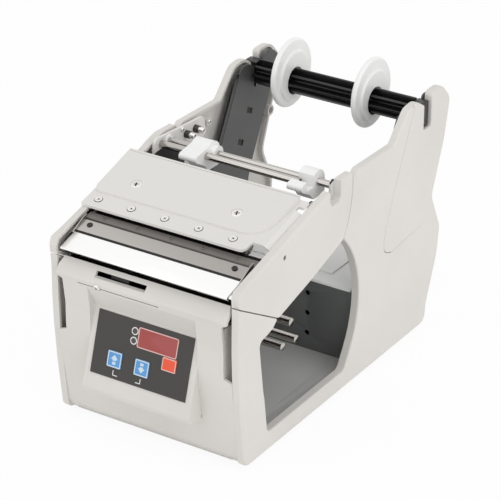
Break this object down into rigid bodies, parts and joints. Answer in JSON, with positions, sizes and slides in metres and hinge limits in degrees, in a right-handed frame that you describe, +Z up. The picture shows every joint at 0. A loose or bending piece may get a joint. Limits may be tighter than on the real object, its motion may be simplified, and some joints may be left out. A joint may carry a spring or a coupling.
{
  "type": "label dispenser machine",
  "caption": "Desk machine that feeds a roll of labels over a peel plate and rewinds the backing strip on a pinned spindle.",
  "frame": {"origin": "middle of the footprint, on the plane that the rubber feet stand on", "axes": "+X to the right of the machine, +Y from the front to the back, +Z up"},
  "size_m": [0.19, 0.3627, 0.257],
  "materials": {
    "cover_plastic": "fine grained moulded",
    "lid_plastic": "smooth powder coat",
    "chassis_black": "black powder coat",
    "chassis_light": "light powder coat",
    "bright_steel": "brushed",
    "rod_steel": "polished",
    "screw_steel": "zinc plated",
    "black_steel": "black oxide",
    "axle_black": "black anodised extrusion",
    "white_plastic": "satin acetal",
    "black_plastic": "moulded",
    "rubber_black": "matt",
    "membrane_film": "printed polyester film",
    "display_red": "tinted window",
    "key_blue": "embossed film",
    "key_orange": "embossed film",
    "board_green": "glass fibre laminate",
    "brass": "turned"
  },
  "bodies": {
    "chassis": {"base_plate": "chassis_light", "feet": "rubber_black", "foot_screws": "screw_steel", "left_side_plate": "chassis_light", "right_feed_plate": "chassis_light", "left_upright": "chassis_black", "right_upright": "chassis_black", "rear_wall": "chassis_black", "rear_box_cover": "chassis_light", "power_inlet": "black_plastic", "power_switch": "black_plastic", "main_board": "board_green", "power_supply": "bright_steel", "board_standoffs": "brass", "left_side_cover": "cover_plastic", "left_front_arm": "cover_plastic", "right_side_cover": "cover_plastic", "right_front_arm": "cover_plastic", "cover_screws": "screw_steel", "front_housing": "cover_plastic", "membrane": "membrane_film", "display_window": "display_red", "led_lenses": "display_red", "control_board": "board_green", "peel_plate": "bright_steel", "guide_plate": "bright_steel", "plate_screws": "black_steel", "deck_strip": "chassis_black", "deck_screws": "screw_steel", "lid_hinge_pin": "rod_steel", "sensor_screw": "screw_steel", "front_rod": "rod_steel", "rear_rod": "rod_steel", "rod_plate": "lid_plastic", "rod_standoffs": "bright_steel", "rewind_bearing": "brass", "motor": "black_plastic", "feed_belt": "rubber_black", "rewind_belt": "rubber_black"},
    "lid": {"lid_cover": "lid_plastic", "lid_frame": "bright_steel", "lid_screws": "screw_steel", "lip_screws": "screw_steel"},
    "pinch": {"pinch_roller": "rod_steel"},
    "feed": {"feed_roller": "rubber_black", "feed_shaft": "rod_steel", "feed_pulley": "black_plastic"},
    "motor_rotor": {"motor_pulley": "black_plastic"},
    "rewind": {"rewind_hub": "rod_steel", "rewind_pulley": "black_plastic"},
    "axle": {"roll_axle": "axle_black"},
    "left_flange": {"left_flange": "white_plastic"},
    "right_flange": {"right_flange": "white_plastic"},
    "left_guide": {"left_guide": "white_plastic"},
    "right_guide": {"right_guide": "white_plastic"},
    "sensor": {"sensor_carriage": "black_plastic"},
    "up_key": {"up_key": "key_blue"},
    "down_key": {"down_key": "key_blue"},
    "reset_key": {"reset_key": "key_orange"},
    "rocker": {"switch_rocker": "black_plastic"}
  },
  "joints": [
    {"name": "lid_open", "type": "hinge", "parent": "chassis", "child": "lid", "pos_m": [0, -0.0452, 0.20074], "axis": [-1, 0, 0], "range_deg": [0, 75]},
    {"name": "pinch_spin", "type": "hinge", "parent": "lid", "child": "pinch", "pos_m": [0, -0.1122, 0.1791], "axis": [1, 0, 0], "continuous": true},
    {"name": "rewind_spin", "type": "hinge", "parent": "chassis", "child": "rewind", "pos_m": [0, -0.0415, 0.068], "axis": [1, 0, 0], "continuous": true},
    {"name": "feed_spin", "type": "hinge", "parent": "chassis", "child": "feed", "pos_m": [0, -0.1122, 0.167], "axis": [1, 0, 0], "continuous": true},
    {"name": "motor_spin", "type": "hinge", "parent": "chassis", "child": "motor_rotor", "pos_m": [0, -0.0752, 0.161], "axis": [1, 0, 0], "continuous": true},
    {"name": "axle_lift", "type": "slide", "parent": "chassis", "child": "axle", "axis": [0, 0, 1], "range_m": [0, 0.04]},
    {"name": "left_flange_slide", "type": "slide", "parent": "axle", "child": "left_flange", "axis": [1, 0, 0], "range_m": [-0.03, 0.07]},
    {"name": "right_flange_slide", "type": "slide", "parent": "axle", "child": "right_flange", "axis": [1, 0, 0], "range_m": [-0.07, 0.038]},
    {"name": "left_guide_slide", "type": "slide", "parent": "chassis", "child": "left_guide", "axis": [1, 0, 0], "range_m": [-0.022, 0.078]},
    {"name": "right_guide_slide", "type": "slide", "parent": "chassis", "child": "right_guide", "axis": [1, 0, 0], "range_m": [-0.078, 0.012]},
    {"name": "sensor_slide", "type": "slide", "parent": "chassis", "child": "sensor", "axis": [1, 0, 0], "range_m": [-0.012, 0.018]},
    {"name": "up_key_press", "type": "slide", "parent": "chassis", "child": "up_key", "axis": [0, 0.9574, -0.2886], "range_m": [0, 0.0004], "stiffness_N_per_m": 400},
    {"name": "down_key_press", "type": "slide", "parent": "chassis", "child": "down_key", "axis": [0, 0.9574, -0.2886], "range_m": [0, 0.0004], "stiffness_N_per_m": 400},
    {"name": "reset_key_press", "type": "slide", "parent": "chassis", "child": "reset_key", "axis": [0, 0.9574, -0.2886], "range_m": [0, 0.0004], "stiffness_N_per_m": 400},
    {"name": "rocker_tilt", "type": "hinge", "parent": "chassis", "child": "rocker", "pos_m": [0, 0.1168, 0.046], "axis": [0, 0, 1], "range_deg": [-14, 0]}
  ],
  "couplings": [
    {"joint": "feed_spin", "follows": "rewind_spin", "ratio": 2},
    {"joint": "motor_spin", "follows": "rewind_spin", "ratio": 2}
  ]
}
